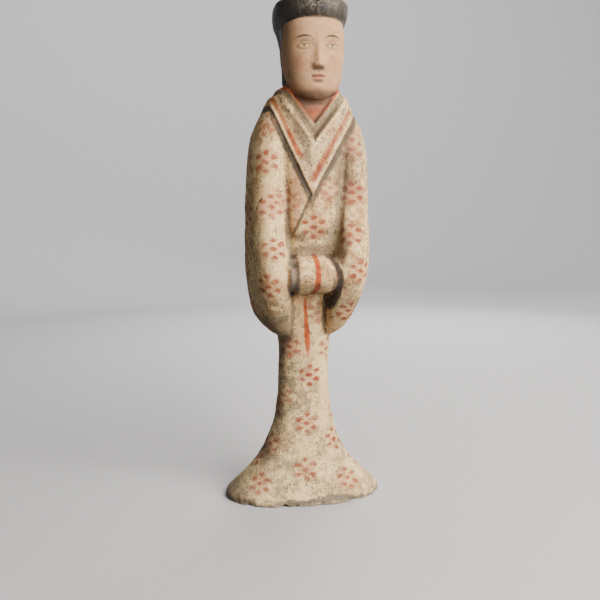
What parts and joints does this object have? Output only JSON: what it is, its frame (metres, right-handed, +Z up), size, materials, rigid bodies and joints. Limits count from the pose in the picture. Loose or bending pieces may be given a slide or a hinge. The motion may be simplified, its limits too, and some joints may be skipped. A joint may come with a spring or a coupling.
{
  "type": "court attendant figure",
  "caption": "Standing court attendant in painted earthenware: joined hands under long hanging sleeves, crossed collars and a flaring skirt.",
  "frame": {"origin": "centre of the figure's outline from above, on the plane of the hem's underside", "axes": "+Z up, -Y the way the figure faces, +X towards its left hand side"},
  "size_m": [0.172, 0.1204, 0.52],
  "materials": {
    "painted_earthenware": "matt fired clay with worn cream slip, red, grey and flesh-coloured paint"
  },
  "bodies": {
    "root": {"attendant_figure": "painted_earthenware"}
  },
  "joints": []
}
